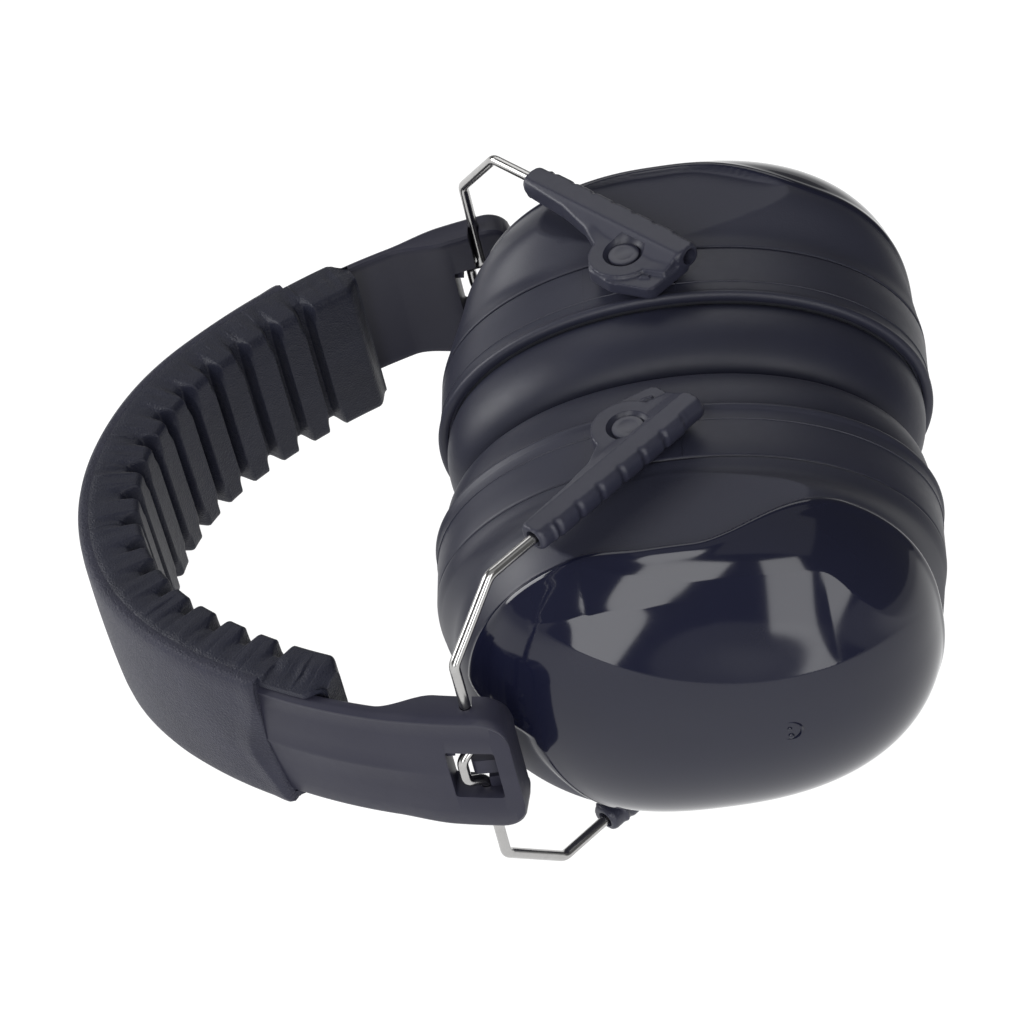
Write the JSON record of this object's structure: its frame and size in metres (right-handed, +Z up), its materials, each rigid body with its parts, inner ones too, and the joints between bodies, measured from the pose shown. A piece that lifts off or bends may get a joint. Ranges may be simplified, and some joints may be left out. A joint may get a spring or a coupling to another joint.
{
  "type": "earmuff hearing protector",
  "caption": "Passive folding earmuff with a padded arched headband, bent wire forks, sliding arms and two oval domed cups with soft cushions, folded and lying on its side.",
  "frame": {"origin": "centre of the footprint of the folded earmuff as it lies on its side, at the height of the table", "axes": "+Z up from the table; +X from the crown of the headband towards the cups; +Y from the near cup to the far cup. The earmuff leans 14.9 degrees about Y, crown down, because the wire forks reach lower than the headband."},
  "size_m": [0.1764, 0.1554, 0.0922],
  "materials": {
    "band_plastic": "satin moulded nylon",
    "cover_leatherette": "fine-grained leatherette",
    "pad_skin": "soft leatherette, pressed into ribs",
    "foam": "open-cell foam",
    "fork_steel": "bright drawn stainless wire",
    "arm_plastic": "satin moulded nylon",
    "ring_plastic": "satin moulded plastic",
    "shell_plastic": "glossy dome with matte flats under the arms",
    "plate_plastic": "plain moulded plastic",
    "pin_plastic": "moulded acetal",
    "cushion_skin": "smooth vinyl skin",
    "cushion_foam": "soft foam"
  },
  "bodies": {
    "band": {"headband": "band_plastic", "band_cover": "cover_leatherette", "band_pad": "pad_skin", "pad_foam": "foam"},
    "fork_near": {"wire_fork_near": "fork_steel"},
    "arms_near": {"arm_top_near": "arm_plastic", "arm_bottom_near": "arm_plastic"},
    "cup_near": {"pivot_pins_near": "pin_plastic", "mount_ring_near": "ring_plastic", "cup_shell_near": "shell_plastic", "seal_plate_near": "plate_plastic", "cup_foam_near": "foam", "cushion_skin_near": "cushion_skin", "cushion_foam_near": "cushion_foam"},
    "fork_far": {"wire_fork_far": "fork_steel"},
    "arms_far": {"arm_top_far": "arm_plastic", "arm_bottom_far": "arm_plastic"},
    "cup_far": {"pivot_pins_far": "pin_plastic", "mount_ring_far": "ring_plastic", "cup_shell_far": "shell_plastic", "seal_plate_far": "plate_plastic", "cup_foam_far": "foam", "cushion_skin_far": "cushion_skin", "cushion_foam_far": "cushion_foam"}
  },
  "joints": [
    {"name": "fold_near", "type": "hinge", "parent": "band", "child": "fork_near", "pos_m": [-0.00397, -0.0724, 0.03769], "axis": [0.2565, 0, -0.9665], "range_deg": [0, 75]},
    {"name": "height_near", "type": "slide", "parent": "fork_near", "child": "arms_near", "axis": [0.6835, 0.7071, 0.1814], "range_m": [0, 0.015], "deforming": ["cushion_skin_near", "cushion_foam_near"]},
    {"name": "swivel_near", "type": "hinge", "parent": "arms_near", "child": "cup_near", "pos_m": [0.03143, -0.0263, 0.04708], "axis": [0.2565, 0, -0.9665], "range_deg": [-75, 0]},
    {"name": "fold_far", "type": "hinge", "parent": "band", "child": "fork_far", "pos_m": [-0.00397, 0.0724, 0.03769], "axis": [-0.2565, 0, 0.9665], "range_deg": [0, 75]},
    {"name": "height_far", "type": "slide", "parent": "fork_far", "child": "arms_far", "axis": [0.6835, -0.7071, 0.1814], "range_m": [0, 0.015], "deforming": ["cushion_skin_far", "cushion_foam_far"]},
    {"name": "swivel_far", "type": "hinge", "parent": "arms_far", "child": "cup_far", "pos_m": [0.03143, 0.0263, 0.04708], "axis": [-0.2565, 0, 0.9665], "range_deg": [-75, 0]}
  ],
  "couplings": [
    {"joint": "swivel_near", "follows": "fold_near", "ratio": -1},
    {"joint": "swivel_far", "follows": "fold_far", "ratio": -1}
  ]
}
